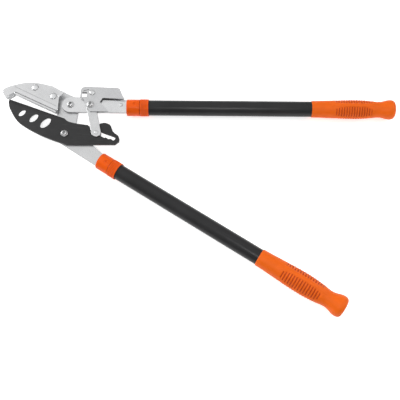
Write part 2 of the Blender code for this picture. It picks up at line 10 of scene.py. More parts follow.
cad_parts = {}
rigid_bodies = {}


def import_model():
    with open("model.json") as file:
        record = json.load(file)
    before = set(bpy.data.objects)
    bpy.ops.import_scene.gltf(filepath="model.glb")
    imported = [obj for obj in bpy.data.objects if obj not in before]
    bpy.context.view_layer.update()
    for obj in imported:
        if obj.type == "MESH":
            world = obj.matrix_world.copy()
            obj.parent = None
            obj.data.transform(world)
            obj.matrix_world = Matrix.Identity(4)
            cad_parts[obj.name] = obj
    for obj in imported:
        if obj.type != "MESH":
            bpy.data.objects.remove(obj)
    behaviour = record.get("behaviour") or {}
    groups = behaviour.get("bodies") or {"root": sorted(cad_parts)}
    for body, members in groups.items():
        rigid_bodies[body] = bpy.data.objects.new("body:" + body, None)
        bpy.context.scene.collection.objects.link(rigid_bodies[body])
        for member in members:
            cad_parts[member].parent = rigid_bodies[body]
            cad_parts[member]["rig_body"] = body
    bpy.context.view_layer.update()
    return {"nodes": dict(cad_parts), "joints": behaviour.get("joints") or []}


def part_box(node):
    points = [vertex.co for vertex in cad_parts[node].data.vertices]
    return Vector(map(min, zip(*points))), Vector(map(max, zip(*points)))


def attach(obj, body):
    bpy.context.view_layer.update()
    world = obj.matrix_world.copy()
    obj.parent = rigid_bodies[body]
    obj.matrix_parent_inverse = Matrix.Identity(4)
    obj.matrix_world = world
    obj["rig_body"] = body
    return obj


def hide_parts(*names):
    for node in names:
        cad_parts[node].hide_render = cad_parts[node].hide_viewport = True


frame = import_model()

# The three pivots of the head, from the frame's joints.
JOINTS = {joint["name"]: joint for joint in frame["joints"]}
BLADE_PIVOT = Vector(JOINTS["blade_swing"]["pos_m"])
ARM_PIVOT = Vector(JOINTS["handle_swing"]["pos_m"])
LINK_PIVOT = Vector(JOINTS["link_swing"]["pos_m"])

# Edges, gaps and the number of sides of round pieces.
PLATE_BEVEL = 0.00035
FINE_BEVEL = 0.00025
FOLD_RADIUS = 0.0016
GAP = 0.0003
ROUND = 96
MEDIUM_ROUND = 64
SMALL_ROUND = 48

# Creases in the jaw's cheek, with their ends measured from the blade pivot, and grooves round its rivets.
CREASES = [((-0.0957, 0.0905), (-0.0180, 0.0515)), ((-0.0202, 0.0764), (-0.0152, 0.0704))]
GROOVE_RADIUS = 0.0007
PRESS_RADIUS = 0.0005

# Button bolts.
HEAD_HEIGHT = 0.0042
SHANK_RADIUS = 0.0040
THREAD_START = 0.0008
THREAD_END = 0.0042
THREAD_PITCH = 0.0008
THREAD_DEPTH = 0.00022
SOCKET_RADIUS = 0.0030
SOCKET_TURN = 0.3
SOCKET_DEPTH = 0.0024
CONE_RADIUS = 0.0022
SINK_DEPTH = 0.0006

# Lock nuts.
COLLAR_HEIGHT = 0.0018
NUT_CHAMFER = 0.0009

# Torsion spring, with the ends of its legs measured from the blade pivot.
SPRING_WIRE = 0.00068
SPRING_RADIUS = 0.0042
SPRING_HALF_HEIGHT = 0.0034
SPRING_TURNS = 3.25
SPRING_STEPS = 156
SPRING_FIRST_END = (0.0372, 0.0715)
SPRING_LAST_END = (0.0620, 0.0860)

# Ferrule and lock ring.
FERRULE_WALL = 0.0045
SLOT_HALF_WIDTH = 0.0124
SLOT_DEPTH = 0.0063
PIN_HOLE_RADIUS = 0.0025
PANEL_HALF_ANGLE = radians(34)
PANEL_BLEND = radians(7)
PANEL_MARGIN = 0.0030
PANEL_SLOPE = 0.0016
PANEL_RAISE = 0.0004
KNURLS = 42
KNURL_DEPTH = 0.0005
KNURL_SLOPE = 0.0008
KNURL_SHADE = 0.6
RING_RIM = 0.0016
KNURL_REACH = 0.0012
SEAM = 0.0008

# Guide bush.
BUSH_GROOVES = 2
BUSH_GROOVE_START = 0.005
BUSH_GROOVE_STEP = 0.006
BUSH_GROOVE_WIDTH = 0.0016
BUSH_GROOVE_DEPTH = 0.0007

# Grip: distances from its mouth along the outline below, and angles from the middle of its flat sides.
RIB_START = 0.0427
RIB_END = 0.1120
RIBS = 15
RIB_DEPTH = 0.0010
RIB_STEP = 0.00045
PLAIN_STEP = 0.0012
PANEL_SINK = 0.0003
SPINE_HALF_ANGLE = radians(10)
PANEL_START_ANGLE = SPINE_HALF_ANGLE + radians(1.5)
PANEL_END_ANGLE = radians(80)
SPINE_LIFT = 0.0006
LIFT_START = 0.025
LIFT_END = 0.14
LIFT_SLOPE = 0.02
SPINE_END = 0.122
SPINE_FADE = 0.012
KNOB_FACE = 0.1535
GRIP_SIDES = 180
GRIP_TURN = {"upper": 0.0, "lower": radians(-12)}
GRIP_OUTLINE = [
    (0.0000, 0.01410),
    (0.0004, 0.01450),
    (0.0016, 0.01485),
    (0.0100, 0.01500),
    (0.0200, 0.01530),
    (0.0330, 0.01600),
    (0.0427, 0.01670),
    (0.0540, 0.01760),
    (0.0670, 0.01805),
    (0.0800, 0.01820),
    (0.0930, 0.01785),
    (0.1030, 0.01710),
    (0.1120, 0.01600),
    (0.1190, 0.01500),
    (0.1245, 0.01460),
    (0.1290, 0.01470),
    (0.1340, 0.01550),
    (0.1390, 0.01680),
    (0.1435, 0.01750),
    (0.1470, 0.01760),
    (0.1505, 0.01680),
    (0.1530, 0.01510),
    (0.1541, 0.01240),
    (0.1543, 0.00860),
]

# Stage: the sky's greys by height, and each lamp's name, place, width and watts.
FLOOR_RADIUS = 3.0
FLOOR_GLOW = 0.52
SKY_STOPS = [(0.0, 0.34), (0.22, 0.36), (0.50, 0.55), (0.80, 0.86), (1.0, 0.94)]
LAMPS = [
    ("key", (-1.5, 0.7, 0.75), 0.8, 16.0),
    ("fill", (1.3, 0.1, 1.2), 1.0, 7.0),
    ("top", (0.0, -0.62, 1.55), 0.30, 7.0),
]

# Camera, measured from the blade pivot.
CAMERA_AT = (0.2397, -0.4651, 0.9612)
CAMERA_AIM = (0.2397, -0.1239, 0.0)
CAMERA_ROLL = radians(0.52)
LENS_MM = 54

# Colours of the plastics, the last being painted shade for their grooves and seams; how dark painted shade
# makes steel's cut sides and head rims; how dark the random mottle and clouds are.
ORANGE = (0.82, 0.103, 0.003)
ORANGE_GRIP = (0.82, 0.128, 0.004)
ORANGE_PAINTED_SHADE = (0.34, 0.026, 0.003)
EDGE_SHADE = 0.45
MOTTLE_SHADE = 0.86
RIM_SHADE = 0.8
CLOUD_SHADE = 0.9


# ---- procedural materials ----


class Look:
    """A Principled material whose colour, roughness and bump are built from nodes.

    Its patterns follow the mesh attribute spot, which holds where each point lay when its piece was drawn.
    """

    def __init__(self, name):
        self.material = bpy.data.materials.new(name)
        self.material.use_nodes = True
        self.tree = self.material.node_tree
        self.shader = self.tree.nodes["Principled BSDF"]
        self.where = self.add("ShaderNodeAttribute", attribute_name="spot").outputs["Vector"]

    def add(self, kind, **settings):
        node = self.tree.nodes.new(kind)
        for key, value in settings.items():
            setattr(node, key, value)
        return node

    def feed(self, socket, value):
        if isinstance(value, bpy.types.NodeSocket):
            self.tree.links.new(value, socket)
        else:
            socket.default_value = value

    def turned(self, angle=0.0, stretch=(1, 1, 1)):
        """The piece's own coordinates turned about Z, then stretched, so that a pattern runs one way."""
        node = self.add("ShaderNodeMapping", vector_type="POINT")
        self.feed(node.inputs["Vector"], self.where)
        node.inputs["Rotation"].default_value = (0, 0, -angle)
        node.inputs["Scale"].default_value = stretch
        return node.outputs["Vector"]

    def noise(self, size, detail=3.0, at=None, roughness=0.5):
        """Noise whose features are about this size in metres."""
        node = self.add("ShaderNodeTexNoise")
        self.feed(node.inputs["Vector"], at or self.where)
        node.inputs["Scale"].default_value = 1 / size
        node.inputs["Detail"].default_value = detail
        node.inputs["Roughness"].default_value = roughness
        return node.outputs["Fac"]

    def spread(self, value, low, high, start=0.3, end=0.7):
        """The value's middle stretch mapped to a range."""
        node = self.add("ShaderNodeMapRange")
        self.feed(node.inputs["Value"], value)
        node.inputs["From Min"].default_value = start
        node.inputs["From Max"].default_value = end
        node.inputs["To Min"].default_value = low
        node.inputs["To Max"].default_value = high
        return node.outputs["Result"]

    def sum(self, a, b, operation="ADD"):
        node = self.add("ShaderNodeMath", operation=operation)
        self.feed(node.inputs[0], a)
        self.feed(node.inputs[1], b)
        return node.outputs["Value"]

    def blend(self, factor, a, b):
        """Colour a where the factor is 0, colour b where it is 1."""
        node = self.add("ShaderNodeMix", data_type="RGBA")
        self.feed(node.inputs["Factor"], factor)
        for socket, value in (("A", a), ("B", b)):
            colour = [s for s in node.inputs if s.name == socket and s.type == "RGBA"][0]
            self.feed(colour, value if isinstance(value, bpy.types.NodeSocket) else (*value, 1))
        return [s for s in node.outputs if s.type == "RGBA"][0]

    def attribute(self, name):
        return self.add("ShaderNodeAttribute", attribute_name=name).outputs["Fac"]

    def bump(self, height, depth, normal=None):
        """Bump of this depth in metres."""
        node = self.add("ShaderNodeBump")
        node.inputs["Strength"].default_value = 1.0
        node.inputs["Distance"].default_value = depth
        self.feed(node.inputs["Height"], height)
        if normal:
            self.feed(node.inputs["Normal"], normal)
        return node.outputs["Normal"]

    def finish(self, colour, roughness, normal, **constants):
        self.feed(self.shader.inputs["Base Color"], colour)
        self.feed(self.shader.inputs["Roughness"], roughness)
        self.feed(self.shader.inputs["Normal"], normal)
        for name, value in constants.items():
            self.shader.inputs[name.replace("_", " ")].default_value = value
        return self.material


def scaled(colour, by):
    return tuple(by * part for part in colour)


def brushed_metal(name, light, dark, roughness, angle=0.0, brush=0.5, wave=0.00002):
    """Brushed steel: grain along one direction, mottled zinc, hairline scratches, and painted shade on cut
    sides, socket walls and head rims, which are also rougher.
    """
    look = Look(name)
    grain = look.noise(0.00025, 4, look.turned(angle, (0.02, 1, 1)))
    scratch = look.noise(0.0011, 2, look.turned(angle + radians(28), (0.015, 1, 1)))
    cloud = look.noise(0.018, 3)
    mottle = look.noise(0.0022, 2)
    tone = look.blend(look.spread(cloud, 0, 1), light, dark)
    tone = look.blend(look.spread(mottle, 0, 0.55, 0.42, 0.68), tone, scaled(dark, MOTTLE_SHADE))
    # Painted shade: where the side attribute is set, on cut sides, in sockets and round head rims, the colour
    # goes towards the dark tone and the roughness up.
    painted_side_shade = look.sum(look.attribute("side"), look.spread(grain, 0.75, 1.0), "MULTIPLY")
    colour = look.blend(painted_side_shade, tone, scaled(dark, EDGE_SHADE))
    rough = look.spread(grain, roughness - 0.05, roughness + 0.07)
    rough = look.sum(rough, look.spread(mottle, -0.03, 0.05))
    rough = look.sum(rough, look.sum(painted_side_shade, 0.15, "MULTIPLY"))
    normal = look.bump(look.noise(0.012, 1), wave)
    normal = look.bump(grain, 0.000004 * brush, normal)
    normal = look.bump(look.spread(scratch, 0, 1, 0.62, 0.72), 0.000003, normal)
    return look.finish(colour, rough, normal, Metallic=1.0)


def blade_coating():
    """Black non-stick coating on the blade: fine speckle, soft clouds and wear rubbed in along the cut."""
    look = Look("blade_coating")
    speckle = look.noise(0.0004, 2)
    cloud = look.noise(0.014, 4)
    rub = look.noise(0.0016, 3, look.turned(radians(-20), (0.06, 1, 1)))
    base = look.blend(look.spread(cloud, 0, 1), (0.014, 0.014, 0.0145), (0.020, 0.020, 0.0205))
    colour = look.blend(look.spread(rub, 0, 0.6, 0.62, 0.75), base, (0.050, 0.050, 0.051))
    rough = look.sum(look.spread(speckle, 0.40, 0.52), look.spread(rub, 0.0, -0.08, 0.55, 0.7))
    normal = look.bump(speckle, 0.000012)
    return look.finish(colour, rough, normal, Specular_IOR_Level=0.38)


def powder_coat():
    """Black powder coat on the tubes, with its orange peel and a few lengthwise scuffs."""
    look = Look("tube_black")
    peel = look.noise(0.0011, 2)
    fine = look.noise(0.0003, 2)
    cloud = look.noise(0.05, 3)
    scuff = look.noise(0.0014, 3, look.turned(0, (1, 1, 0.03)))
    base = look.blend(look.spread(cloud, 0, 1), (0.0205, 0.0205, 0.0210), (0.028, 0.028, 0.029))
    colour = look.blend(look.spread(scuff, 0, 0.5, 0.66, 0.78), base, (0.045, 0.045, 0.047))
    rough = look.sum(look.spread(cloud, 0.27, 0.34), look.spread(scuff, 0.0, 0.10, 0.6, 0.75))
    normal = look.bump(peel, 0.000022)
    normal = look.bump(fine, 0.000004, normal)
    return look.finish(colour, rough, normal, Specular_IOR_Level=0.18)


def moulded_plastic(name, colour, dark, roughness, grain=0.00035, depth=0.000012, shade_attribute=None):
    """Moulded plastic: a fine grain, faint flow clouds, and painted shade, with more roughness, where a mesh
    attribute says so.
    """
    look = Look(name)
    skin = look.noise(grain, 2)
    cloud = look.noise(0.02, 3)
    mixed = look.blend(look.spread(cloud, 0, 1), colour, scaled(colour, CLOUD_SHADE))
    rough = look.spread(skin, roughness - 0.05, roughness + 0.06)
    rough = look.sum(rough, look.spread(cloud, -0.02, 0.03))
    if shade_attribute:
        # Painted shade: the attribute, broken up by noise, blends the colour towards the dark one and raises
        # the roughness.
        painted_shade = look.attribute(shade_attribute)
        uneven = look.sum(painted_shade, look.spread(look.noise(0.004, 3), 0.75, 1.0), "MULTIPLY")
        mixed = look.blend(uneven, mixed, dark)
        rough = look.sum(rough, look.sum(painted_shade, 0.12, "MULTIPLY"))
    normal = look.bump(skin, depth)
    return look.finish(mixed, rough, normal, Specular_IOR_Level=0.18)


LOWER_ANGLE = Vector((1, 0)).angle_signed(Vector(JOINTS["lower_extension"]["axis"][:2]))
JAW_ANGLE = radians(-25)
LINK_ANGLE = radians(-76)

# Each steel's material name, light tone, dark tone, roughness, direction of grain, and depth of brushing.
STEELS = {
    "jaw": ("jaw_chrome", (0.83, 0.835, 0.84), (0.77, 0.775, 0.785), 0.22, JAW_ANGLE, 0.5, 0.00004),
    "boss": ("boss_chrome", (0.78, 0.785, 0.79), (0.68, 0.69, 0.70), 0.40, JAW_ANGLE, 0.5),
    "arm": ("arm_steel", (0.82, 0.825, 0.83), (0.75, 0.755, 0.765), 0.27, 0.0, 0.8),
    "bar": ("bar_steel", (0.71, 0.715, 0.72), (0.65, 0.655, 0.66), 0.33, -LOWER_ANGLE, 1.0),
    "housing": ("housing_steel", (0.70, 0.705, 0.71), (0.63, 0.635, 0.645), 0.33, 0.0, 0.8),
    "link": ("link_steel", (0.76, 0.765, 0.77), (0.68, 0.685, 0.69), 0.30, LINK_ANGLE, 0.8),
    "bolt": ("bolt_steel", (0.80, 0.805, 0.81), (0.68, 0.685, 0.69), 0.36, 0.7, 0.4),
    "nut": ("nut_steel", (0.74, 0.745, 0.75), (0.62, 0.625, 0.63), 0.34, 0.4, 0.6),
    "spring": ("spring_steel", (0.50, 0.505, 0.51), (0.40, 0.40, 0.41), 0.30, 0.0, 0.4),
    "inner": ("inner_tube_zinc", (0.78, 0.785, 0.79), (0.70, 0.705, 0.71), 0.30, 0.0, 0.8),
}
LOOKS = {look: brushed_metal(*settings) for look, settings in STEELS.items()}
LOOKS["blade"] = blade_coating()
LOOKS["tube"] = powder_coat()
LOOKS["plastic"] = moulded_plastic("orange_plastic", ORANGE, ORANGE_PAINTED_SHADE, 0.34, shade_attribute="painted_shade")
LOOKS["grip"] = moulded_plastic("orange_grip", ORANGE_GRIP, ORANGE_PAINTED_SHADE, 0.50, 0.0005, 0.00003, "painted_shade")
LOOKS["black"] = moulded_plastic("black_plastic", (0.018, 0.018, 0.019), (0.01, 0.01, 0.01), 0.5)


# ---- mesh tools ----


def as_piece(name, bm, look, node, place=None, smooth=40, painted_side_shade=False):
    """Names a bmesh as the piece that stands for a CAD node, and lets it ride on that node's body.

    A plate across Z can have painted shade on its cut sides: they get the side attribute, which darkens them.
    """
    bmesh.ops.recalc_face_normals(bm, faces=bm.faces)
    mesh = bpy.data.meshes.new(name)
    bm.to_mesh(mesh)
    bm.free()
    spots = [value for vert in mesh.vertices for value in vert.co]
    mesh.attributes.new("spot", "FLOAT_VECTOR", "POINT").data.foreach_set("vector", spots)
    if painted_side_shade:
        sides = [1 - abs(vert.normal.z) for vert in mesh.vertices]
        mesh.attributes.new("side", "FLOAT", "POINT").data.foreach_set("value", sides)
    if place:
        mesh.transform(place)
    mesh.shade_smooth()
    mesh.set_sharp_from_angle(angle=radians(smooth))
    mesh.materials.append(LOOKS[look])
    piece = bpy.data.objects.new(name, mesh)
    bpy.context.scene.collection.objects.link(piece)
    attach(piece, frame["nodes"][node]["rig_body"])
    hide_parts(node)
    return piece


def even_normals(piece):
    """Keeps a plate's flat faces flat to the eye beside their rounded edges."""
    modifier = piece.modifiers.new("even_normals", "WEIGHTED_NORMAL")
    modifier.keep_sharp = True
    return piece


def mesh_of(node):
    """A copy of a CAD node's mesh with its doubled points merged and its flat faces made whole."""
    bm = bmesh.new()
    bm.from_mesh(frame["nodes"][node].data)
    bmesh.ops.remove_doubles(bm, verts=bm.verts, dist=1e-6)
    bmesh.ops.dissolve_limit(bm, angle_limit=radians(0.5), verts=bm.verts, edges=bm.edges)
    return bm


def sharp_edges(bm, angle=30):
    return [e for e in bm.edges if len(e.link_faces) == 2 and e.calc_face_angle() > radians(angle)]


def round_edges(bm, edges, width, segments=3):
    bmesh.ops.bevel(
        bm, geom=edges, offset=width, segments=segments, profile=0.5, affect="EDGES", clamp_overlap=True
    )


def cut_away(bm, cutters):
    """Cuts closed bmeshes out of a bmesh, and returns the result."""
    target = helper_object(bm)
    tools = [helper_object(cutter) for cutter in cutters]
    for tool in tools:
        modifier = target.modifiers.new("cut", "BOOLEAN")
        modifier.operation = "DIFFERENCE"
        modifier.object = tool
    result = evaluated(target)
    for helper in [target, *tools]:
        bpy.data.objects.remove(helper)
    return result


def evaluated(made):
    """The object's mesh after its modifiers, as a bmesh."""
    graph = bpy.context.evaluated_depsgraph_get()
    bm = bmesh.new()
    bm.from_mesh(made.evaluated_get(graph).to_mesh())
    return bm


def helper_object(bm):
    """A short-lived object made from a bmesh, for the Booleans."""
    bmesh.ops.recalc_face_normals(bm, faces=bm.faces)
    mesh = bpy.data.meshes.new("helper")
    bm.to_mesh(mesh)
    bm.free()
    made = bpy.data.objects.new("helper", mesh)
    bpy.context.scene.collection.objects.link(made)
    return made


def rounded(points, radius, steps=4):
    """The open line through these points with its corners rounded. A point (x, y, r) sets its own radius."""
    line = [points[0][:2]]
    for before, corner, after in zip(points, points[1:], points[2:]):
        size = corner[2] if len(corner) > 2 else radius
        here = Vector(corner[:2])
        back = Vector(before[:2]) - here
        on = Vector(after[:2]) - here
        cut = min(size, 0.49 * back.length, 0.49 * on.length)
        if cut < 1e-6:
            line.append(corner[:2])
            continue
        start = here + back.normalized() * cut
        end = here + on.normalized() * cut
        for i in range(steps + 1):
            t = i / steps
            line.append(tuple((1 - t) ** 2 * start + 2 * t * (1 - t) * here + t**2 * end))
    return line + [points[-1][:2]]


def turned(profile, sides=ROUND, shape=None):
    """A solid of revolution about Z from (z, radius) pairs, closed on the axis or on itself.

    shape(z, angle, radius) may move each point in or out.
    """
    bm = bmesh.new()
    rings = []
    for z, radius in profile:
        if radius < 1e-9:
            rings.append([bm.verts.new((0, 0, z))])
            continue
        ring = []
        for i in range(sides):
            angle = tau * i / sides
            r = shape(z, angle, radius) if shape else radius
            ring.append(bm.verts.new((r * cos(angle), r * sin(angle), z)))
        rings.append(ring)
    if profile[0][1] > 1e-9:
        rings.append(rings[0])
    for a, b in zip(rings, rings[1:]):
        for i in range(sides):
            j = (i + 1) % sides
            corners = [a[i % len(a)], a[j % len(a)], b[j % len(b)], b[i % len(b)]]
            bm.faces.new(list(dict.fromkeys(corners)))
    return bm


def prism(outline, low, high):
    """A closed prism along Z over an outline."""
    bm = bmesh.new()
    floor = [bm.verts.new((x, y, low)) for x, y in outline]
    roof = [bm.verts.new((x, y, high)) for x, y in outline]
    bm.faces.new(list(reversed(floor)))
    bm.faces.new(roof)
    for i in range(len(outline)):
        j = (i + 1) % len(outline)
        bm.faces.new([floor[i], floor[j], roof[j], roof[i]])
    return bm


def polygon(radius, sides, start=0.0):
    angles = [start + tau * i / sides for i in range(sides)]
    return [(radius * cos(angle), radius * sin(angle)) for angle in angles]


def rod(a, b, radius, sides=16):
    """A closed round rod from a to b, used to cut a groove."""
    direction = Vector(b) - Vector(a)
    bm = prism(polygon(radius, sides), 0, direction.length)
    turn = direction.to_track_quat("Z", "Y").to_matrix().to_4x4()
    bmesh.ops.transform(bm, verts=bm.verts, matrix=Matrix.Translation(a) @ turn)
    return bm


def finely(line, step):
    """The same line with points added, so that no stretch of it is much longer than a step."""
    points = []
    for a, b in zip(line, line[1:]):
        pieces = max(1, int((Vector(b) - Vector(a)).length / step))
        points += [tuple(Vector(a).lerp(Vector(b), i / pieces)) for i in range(pieces)]
    return points


def smooth_step(t):
    t = min(max(t, 0.0), 1.0)
    return t * t * (3 - 2 * t)


def reach(node, place=Matrix.Identity(4)):
    """A CAD node's lowest and highest Z in a local frame, and its least and greatest distance from Z."""
    inverse = place.inverted()
    points = [inverse @ v.co for v in frame["nodes"][node].data.vertices]
    heights = [p.z for p in points]
    radii = [hypot(p.x, p.y) for p in points]
    return min(heights), max(heights), min(radii), max(radii)


# ---- head plates ----


def add_plate(node, look, bevel=PLATE_BEVEL):
    bm = mesh_of(node)
    round_edges(bm, sharp_edges(bm), bevel)
    return even_normals(as_piece(node + "_shape", bm, look, node, smooth=60, painted_side_shade=True))


def in_head(x, y, z):
    """A point measured from the blade pivot, in the row frame."""
    return BLADE_PIVOT + Vector((x, y, z))


def add_jaw_cheek():
    """The jaw's front cheek with its creases and with a groove pressed round each rivet."""
    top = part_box("jaw_cheek")[1].z - BLADE_PIVOT.z
    over = top + 0.45 * GROOVE_RADIUS
    bm = mesh_of("jaw_cheek")
    round_edges(bm, sharp_edges(bm), PLATE_BEVEL)
    grooves = [rod(in_head(*a, over), in_head(*b, over), GROOVE_RADIUS) for a, b in CREASES]
    for node in ("cheek_rivet_1", "cheek_rivet_2"):
        low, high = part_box(node)
        centre = (low + high) / 2
        centre.z = BLADE_PIVOT.z + top + 0.3 * PRESS_RADIUS
        grooves.append(pressed_ring(centre, (high.x - low.x) / 2 + PRESS_RADIUS, PRESS_RADIUS))
    bm = cut_away(bm, grooves)
    even_normals(as_piece("jaw_cheek_shape", bm, "jaw", "jaw_cheek", smooth=60, painted_side_shade=True))


def pressed_ring(centre, radius, thickness):
    """A closed ring about Z, used to press a groove round a rivet."""
    around = [(y, radius + x) for x, y in polygon(thickness, 12)]
    bm = turned(around, MEDIUM_ROUND)
    bmesh.ops.translate(bm, verts=bm.verts, vec=centre)
    return bm


def add_housing():
    """The folded housing: a large radius along its outer fold, small ones elsewhere."""
    bm = mesh_of("spring_housing")
    low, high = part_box("spring_housing")
    fold = []
    for edge in sharp_edges(bm, 50):
        a, b = (v.co for v in edge.verts)
        on_skin = min(abs(a.z - low.z), abs(a.z - high.z)) < 1e-5 and abs(a.z - b.z) < 1e-5
        along_top = min(a.y, b.y) > high.y - 0.0024 and abs(a.x - b.x) > 0.02
        if on_skin and along_top:
            fold.append(edge)
    round_edges(bm, fold, FOLD_RADIUS, 5)
    round_edges(bm, sharp_edges(bm, 35), FINE_BEVEL, 2)
    node = "spring_housing"
    even_normals(as_piece(node + "_shape", bm, "housing", node, smooth=60, painted_side_shade=True))


# ---- fasteners ----


def button_bolt(node, pivot):
    """Button-head bolt: domed head on a small flange, hexagon socket with a drilled floor, threaded end."""
    place = Matrix.Translation(pivot)
    end, top, _, head = reach(node, place)
    seat = top - HEAD_HEIGHT
    thread = []
    z = end + THREAD_START
    while z < end + THREAD_END:
        thread += [(z, SHANK_RADIUS - THREAD_DEPTH), (z + THREAD_PITCH / 2, SHANK_RADIUS)]
        z += THREAD_PITCH
    profile = [
        (end, 0),
        (end, SHANK_RADIUS - 0.0007),
        (end + 0.0006, SHANK_RADIUS - 0.0001, 0.0002),
        *thread,
        (seat, SHANK_RADIUS),
        (seat, head - 0.0003),
        (seat + 0.0004, head, 0.0004),
        (seat + 0.0009, head, 0.0003),
        (seat + 0.0013, 0.88 * head, 0.0006),
        (top - 0.0009, 0.74 * head, 0.0014),
        (top, 0.56 * head, 0.0012),
        (top, 0),
    ]
    bm = turned(rounded(profile, 0.00005, 3), MEDIUM_ROUND)
    socket = prism(polygon(SOCKET_RADIUS, 6, SOCKET_TURN), top - SOCKET_DEPTH, top + 0.002)
    mouth = top - SOCKET_DEPTH + 0.0004
    tip = (top - 0.0032, 0)
    cone = turned([tip, (mouth - 0.0003, CONE_RADIUS), (mouth, CONE_RADIUS), (mouth, 0)], 24)
    sink = top - SINK_DEPTH
    above = top + 0.0008
    countersink = turned([(sink, 0), (sink, 0.0026), (above, 0.0042), (above, 0)], SMALL_ROUND)
    bm = cut_away(bm, [socket, cone, countersink])
    piece = as_piece(node + "_shape", bm, "bolt", node, place, 32)
    # Painted shade round the head's rim and, in full, on the socket's walls and floor.
    paint_rim_shade(piece, head, 0.0006)
    sides = piece.data.attributes["side"].data
    for side, spot in zip(sides, piece.data.attributes["spot"].data):
        if spot.vector.z > seat and hypot(spot.vector.x, spot.vector.y) < SOCKET_RADIUS + 0.0001:
            side.value = 1.0


def paint_rim_shade(piece, radius, width):
    """Writes the side attribute, which paints shade on steel along the rim of a round head."""
    shades = []
    for spot in piece.data.attributes["spot"].data:
        r = hypot(spot.vector.x, spot.vector.y)
        shades.append(RIM_SHADE * smooth_step((r - radius) / width + 1))
    piece.data.attributes.new("side", "FLOAT", "POINT").data.foreach_set("value", shades)


def washer(node, pivot):
    """Plain washer with rounded corners."""
    place = Matrix.Translation(pivot)
    low, high, bore, outer = reach(node, place)
    corner = 0.0003
    seam = (low, bore + corner)
    line = rounded([seam, (low, outer), (high, outer), (high, bore), (low, bore), seam], corner)[:-1]
    as_piece(node + "_shape", turned(line, MEDIUM_ROUND), "nut", node, place)


def lock_nut(node, pivot):
    """Hexagon lock nut: chamfered corners, and the round collar that holds its insert on the outer side."""
    place = Matrix.Translation(pivot)
    low, high, bore, outer = reach(node, place)
    foot = low + COLLAR_HEIGHT
    flats = outer * cos(pi / 6)
    wide = outer + 0.0002
    chamfer = flats - 0.0002
    barrel = [(foot, 0), (foot, chamfer), (foot + NUT_CHAMFER, wide)]
    barrel += [(high - NUT_CHAMFER, wide), (high, chamfer), (high, 0)]
    overlap = foot + 0.0006
    collar = [(low, bore), (low, flats - 0.0009, 0.0007), (overlap, flats - 0.0007), (overlap, bore)]
    drill = [(low - 0.001, 0), (low - 0.001, bore), (high + 0.001, bore), (high + 0.001, 0)]
    body = helper_object(prism(polygon(outer, 6), foot - 0.0001, high + 0.0001))
    tools = {
        "INTERSECT": helper_object(turned(barrel, MEDIUM_ROUND)),
        "UNION": helper_object(turned(rounded(collar, 0.0005), MEDIUM_ROUND)),
        "DIFFERENCE": helper_object(turned(drill, MEDIUM_ROUND)),
    }
    for operation, tool in tools.items():
        modifier = body.modifiers.new(operation, "BOOLEAN")
        modifier.operation = operation
        modifier.object = tool
    bm = evaluated(body)
    for helper in (body, *tools.values()):
        bpy.data.objects.remove(helper)
    as_piece(node + "_shape", bm, "nut", node, place, 30)


def rivet(node, look):
    """A rivet along Z with low domed heads, each as wide and as high as its CAD node's."""
    low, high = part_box(node)
    centre = (low + high) / 2
    place = Matrix.Translation((centre.x, centre.y, 0))
    heights = sorted({round((place.inverted() @ v.co).z, 6) for v in frame["nodes"][node].data.vertices})
    bottom, top = heights[0], heights[-1]
    seat_low, seat_high = heights[2], heights[-3]
    _, _, _, head = reach(node, place)
    shank = min(
        hypot(v.co.x - centre.x, v.co.y - centre.y)
        for v in frame["nodes"][node].data.vertices
        if abs(v.co.z - seat_high) < 1e-5
    )
    profile = [(bottom, 0)] + dome(seat_low, bottom, head)
    profile += [(seat_low, shank), (seat_high, shank)]
    profile += list(reversed(dome(seat_high, top, head))) + [(top, 0)]
    piece = as_piece(node + "_shape", turned(profile, SMALL_ROUND), look, node, place, 50)
    # Painted shade round the rim of each head.
    paint_rim_shade(piece, head, 0.25 * head)


def dome(seat, crown, radius, steps=7):
    """Profile of a low domed head, from near the axis at its crown out to its seat."""
    points = []
    for i in range(1, steps + 1):
        t = i / steps
        r = radius * sin(t * pi / 2)
        points.append((seat + (crown - seat) * (0.25 + 0.75 * cos(t * pi / 2)), r))
    return points + [(seat, radius)]


# ---- torsion spring ----


def add_spring():
    """Torsion spring: round wire wound on its post, one leg beside the link's ear, one under the web."""
    low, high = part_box("spring_post")
    post = (low + high) / 2
    line = [in_head(*SPRING_FIRST_END, SPRING_HALF_HEIGHT)]
    for i in range(SPRING_STEPS + 1):
        share = i / SPRING_STEPS
        angle = pi - tau * SPRING_TURNS * share
        z = BLADE_PIVOT.z + SPRING_HALF_HEIGHT * (1 - 2 * share)
        line.append(Vector((post.x + SPRING_RADIUS * cos(angle), post.y + SPRING_RADIUS * sin(angle), z)))
    line.append(in_head(*SPRING_LAST_END, -SPRING_HALF_HEIGHT))
    bm = wire(line, SPRING_WIRE)
    as_piece("link_spring_shape", bm, "spring", "link_spring", smooth=80)


def wire(line, radius, sides=12):
    """A round wire along a line of points, its ends domed."""
    ahead = [(b - a).normalized() for a, b in zip(line, line[1:])]
    directions = [ahead[0]] + [(a + b).normalized() for a, b in zip(ahead, ahead[1:])] + [ahead[-1]]
    tip = 0.35 * radius
    stations = [(line[0] - directions[0] * tip, directions[0], 0.6)]
    stations += [(point, direction, 1.0) for point, direction in zip(line, directions)]
    stations += [(line[-1] + directions[-1] * tip, directions[-1], 0.6)]
    bm = bmesh.new()
    rings = []
    across = directions[0].cross(Vector((0, 0, 1))).normalized()
    for point, direction, share in stations:
        across = (across - direction * across.dot(direction)).normalized()
        up = direction.cross(across)
        around = polygon(share * radius, sides)
        rings.append([bm.verts.new(point + x * across + y * up) for x, y in around])
    for a, b in zip(rings, rings[1:]):
        for k in range(sides):
            j = (k + 1) % sides
            bm.faces.new([a[k], a[j], b[j], b[k]])
    bm.faces.new(list(reversed(rings[0])))
    bm.faces.new(rings[-1])
    return bm


# ---- handles ----


